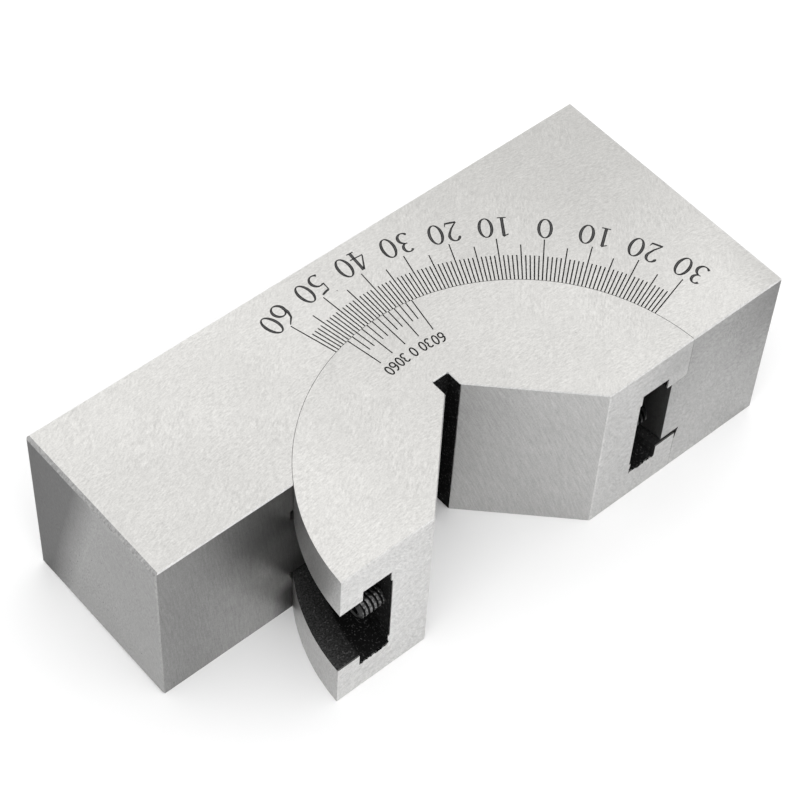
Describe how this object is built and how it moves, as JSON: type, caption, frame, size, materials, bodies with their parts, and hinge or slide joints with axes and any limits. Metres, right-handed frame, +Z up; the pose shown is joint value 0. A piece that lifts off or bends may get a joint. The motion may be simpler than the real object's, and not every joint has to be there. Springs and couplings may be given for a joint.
{
  "type": "adjustable v-block",
  "caption": "Ground steel V block whose right-angled groove sits in a half-round segment that swivels in a round seat, read on an engraved degree scale.",
  "frame": {"origin": "middle of the resting side, the plain side opposite the graduated one", "axes": "+Z up out of the graduated side and along the swivel axis, +X along the block from the shoulder end to the tall end, +Y towards the long base face, so the V groove opens towards -Y"},
  "size_m": [0.102, 0.0454, 0.0306],
  "materials": {
    "ground_steel": "surface ground",
    "segment_steel": "surface ground",
    "nut_steel": "machined",
    "black_screw": "black oxide"
  },
  "bodies": {
    "block": {"block_body": "ground_steel"},
    "segment": {"v_segment": "segment_steel", "stop_screws": "black_screw"},
    "nut": {"clamp_nut": "nut_steel"},
    "screw": {"clamp_screw": "black_screw"}
  },
  "joints": [
    {"name": "segment_swivel", "type": "hinge", "parent": "block", "child": "segment", "pos_m": [0, -0.02425, 0.0153], "axis": [0, 0, 1], "range_deg": [-75, 15]},
    {"name": "clamp_screw_turn", "type": "hinge", "parent": "block", "child": "screw", "pos_m": [0.007, 0.02275, 0.0153], "axis": [0, 1, 0], "range_deg": [0, 180]},
    {"name": "clamp_nut_slide", "type": "slide", "parent": "block", "child": "nut", "axis": [0, -1, 0], "range_m": [0, 0.0005]}
  ],
  "couplings": [
    {"joint": "clamp_screw_turn", "follows": "clamp_nut_slide", "rad_per_m": 6283.2}
  ]
}
